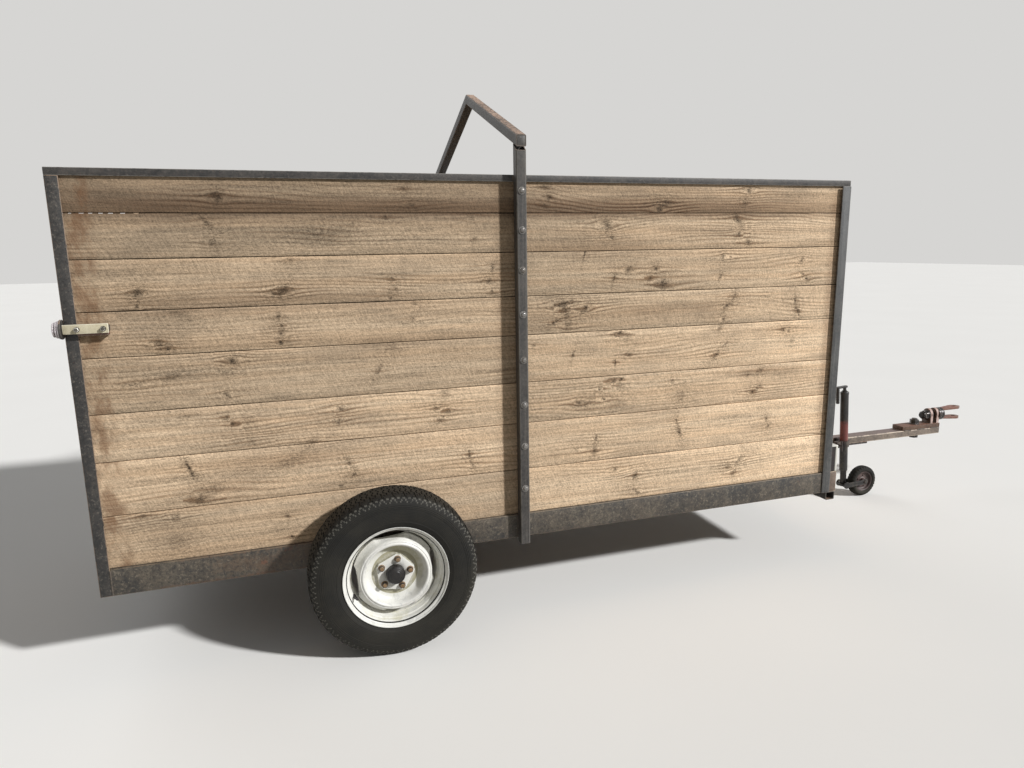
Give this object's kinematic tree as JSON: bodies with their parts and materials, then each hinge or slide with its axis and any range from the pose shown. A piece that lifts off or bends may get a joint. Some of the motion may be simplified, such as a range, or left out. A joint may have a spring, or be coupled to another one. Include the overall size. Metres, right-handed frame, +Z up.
{
  "type": "animal transport trailer",
  "caption": "Single-axle livestock trailer with plank sides in a steel frame, a hoop for a cover, a rear drop gate, a swivelling fork hitch and a jockey wheel.",
  "frame": {"origin": "on the ground, under the middle of the bounding box", "axes": "+X forward towards the hitch, +Y to the left, +Z up"},
  "size_m": [4.7474, 1.76, 2.1753],
  "materials": {
    "frame_paint": "matt, rust stained",
    "drawbar_paint": "matt, worn",
    "primer": "matt red primer",
    "bare_steel": "rusty",
    "zinc": "dull zinc",
    "stand_paint": "satin, scuffed",
    "rim_paint": "satin, dusty",
    "cap_paint": "matt",
    "rubber": "dusty",
    "grey_boards": "weathered",
    "tan_boards": "weathered",
    "floor_wood": "worn",
    "lamp_base": "matt",
    "lamp_lens": "clear over white"
  },
  "bodies": {
    "chassis": {"side_rails": "frame_paint", "rear_sill": "frame_paint", "cross_members": "frame_paint", "front_cross_rail": "frame_paint", "front_under_tube": "frame_paint", "corner_posts": "frame_paint", "top_rails": "frame_paint", "inner_wall_bars": "frame_paint", "hoop_posts": "frame_paint", "hoop_rafters": "frame_paint", "axle_beam": "frame_paint", "axle_brackets": "frame_paint", "spindles": "frame_paint", "drawbar": "drawbar_paint", "floor_planks": "floor_wood", "right_boards_rear": "grey_boards", "right_boards_front": "tan_boards", "left_boards_rear": "grey_boards", "left_boards_front": "tan_boards", "front_boards": "tan_boards", "hitch_bar": "primer", "hitch_bolt": "bare_steel", "jockey_clamp": "primer", "sill_hinges": "frame_paint", "latch_straps": "zinc", "latch_bars": "frame_paint", "front_markers": "lamp_base", "front_marker_lenses": "lamp_lens"},
    "gate": {"gate_frame": "frame_paint", "gate_boards": "grey_boards", "gate_cleats": "grey_boards", "gate_screws": "bare_steel"},
    "wheel_right": {"tyre_right": "rubber", "rim_right": "rim_paint", "hub_right": "bare_steel", "hub_cap_right": "cap_paint"},
    "wheel_left": {"tyre_left": "rubber", "rim_left": "rim_paint", "hub_left": "bare_steel", "hub_cap_left": "cap_paint"},
    "jockey_outer": {"jockey_tube": "stand_paint", "jockey_crank": "stand_paint"},
    "jockey_inner": {"jockey_stem": "bare_steel"},
    "jockey_caster": {"jockey_fork": "bare_steel"},
    "jockey_roller": {"jockey_tyre": "rubber", "jockey_wheel_centre": "stand_paint"},
    "hitch": {"clevis": "primer", "swivel_shaft": "bare_steel"}
  },
  "joints": [
    {"name": "gate_hinge", "type": "hinge", "parent": "chassis", "child": "gate", "pos_m": [-2.35575, 0, 0.408], "axis": [0, -1, 0], "range_deg": [0, 115]},
    {"name": "wheel_right_spin", "type": "hinge", "parent": "chassis", "child": "wheel_right", "pos_m": [-1.33825, -0.794, 0.3125], "axis": [0, 1, 0], "continuous": true},
    {"name": "wheel_left_spin", "type": "hinge", "parent": "chassis", "child": "wheel_left", "pos_m": [-1.33825, 0.794, 0.3125], "axis": [0, 1, 0], "continuous": true},
    {"name": "jockey_clamp_slide", "type": "slide", "parent": "chassis", "child": "jockey_outer", "axis": [-0.0698, 0, 0.9976], "range_m": [0, 0.14]},
    {"name": "jockey_screw", "type": "slide", "parent": "jockey_outer", "child": "jockey_inner", "axis": [0.0698, 0, -0.9976], "range_m": [-0.06, 0.12]},
    {"name": "jockey_swivel", "type": "hinge", "parent": "jockey_inner", "child": "jockey_caster", "pos_m": [1.42398, -0.086, 0.0886], "axis": [-0.0698, 0, 0.9976], "continuous": true},
    {"name": "jockey_wheel_spin", "type": "hinge", "parent": "jockey_caster", "child": "jockey_roller", "pos_m": [1.55788, -0.086, 0.09], "axis": [0, 1, 0], "continuous": true},
    {"name": "hitch_swivel", "type": "hinge", "parent": "chassis", "child": "hitch", "pos_m": [2.20175, 0, 0.425], "axis": [1, 0, 0], "continuous": true}
  ]
}
